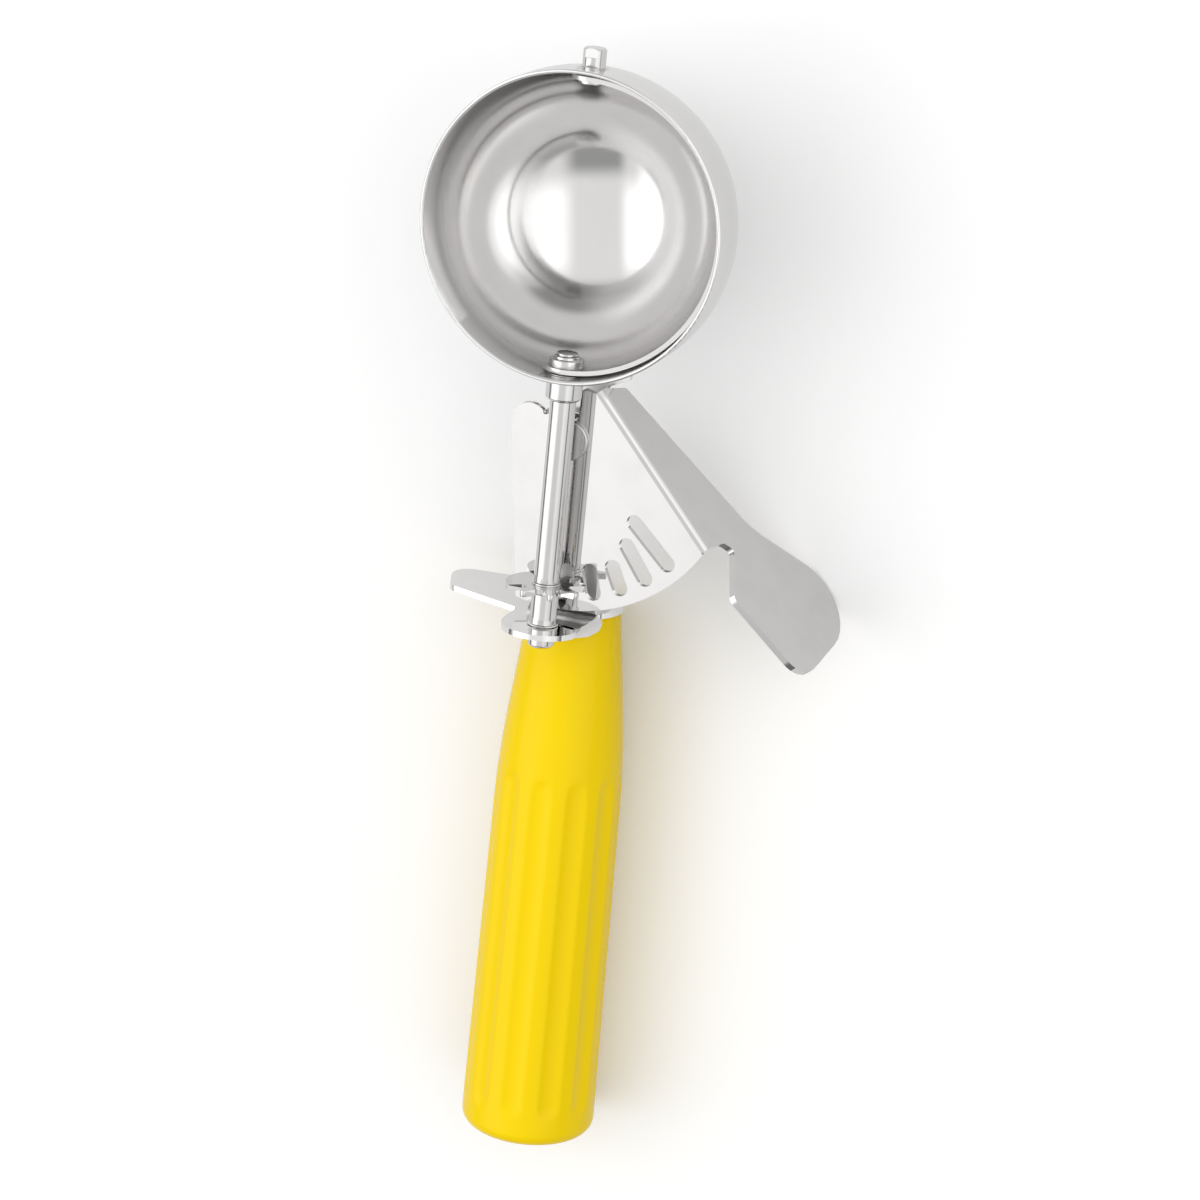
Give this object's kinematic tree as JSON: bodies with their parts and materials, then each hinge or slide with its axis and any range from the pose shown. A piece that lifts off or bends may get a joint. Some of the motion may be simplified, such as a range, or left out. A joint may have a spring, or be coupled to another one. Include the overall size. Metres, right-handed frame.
{
  "type": "lever ice cream scoop",
  "caption": "Portion scoop with a round steel bowl, a sweeping blade worked by a thumb lever through a slotted sector and pinion, and a fluted yellow handle.",
  "frame": {"origin": "on the surface that the handle lies on, straight below the centre of the handle's butt", "axes": "+Y runs along the handle from its butt to the bowl, +Z points out of the bowl's mouth, +X points to the thumb lever's side"},
  "size_m": [0.0743, 0.2039, 0.0367],
  "materials": {
    "bowl_steel": "satin polished stainless steel",
    "polished_sheet": "mirror polished stainless sheet",
    "bright_steel": "bright turned stainless steel",
    "plain_steel": "plain turned stainless steel",
    "spring_steel": "drawn spring wire",
    "grip_plastic": "glossy moulded yellow plastic"
  },
  "bodies": {
    "frame": {"bowl": "bowl_steel", "bowl_ferrule": "plain_steel", "frame_web": "polished_sheet", "finger_plate": "polished_sheet", "tang": "plain_steel", "handle": "grip_plastic", "pivot_rivet": "plain_steel", "pivot_bush": "plain_steel", "pivot_washer": "plain_steel", "return_spring": "spring_steel"},
    "lever": {"thumb_lever": "polished_sheet"},
    "sweep": {"shaft": "bright_steel", "shaft_collar": "plain_steel", "pinion": "bright_steel", "pinion_spacer": "bright_steel", "blade": "bowl_steel", "blade_hub": "plain_steel", "blade_pin": "plain_steel"}
  },
  "joints": [
    {"name": "lever_swing", "type": "hinge", "parent": "frame", "child": "lever", "pos_m": [0, 0.13445, 0.02383], "axis": [0, 0, -1], "range_deg": [0, 40], "stiffness_Nm_per_rad": 0.5, "springref_deg": -17.19, "deforming": ["return_spring"]},
    {"name": "blade_sweep", "type": "hinge", "parent": "frame", "child": "sweep", "pos_m": [0, 0.10865, 0.0298], "axis": [0, 1, 0], "range_deg": [0, 170]}
  ],
  "couplings": [
    {"joint": "blade_sweep", "follows": "lever_swing", "ratio": 4.25}
  ]
}
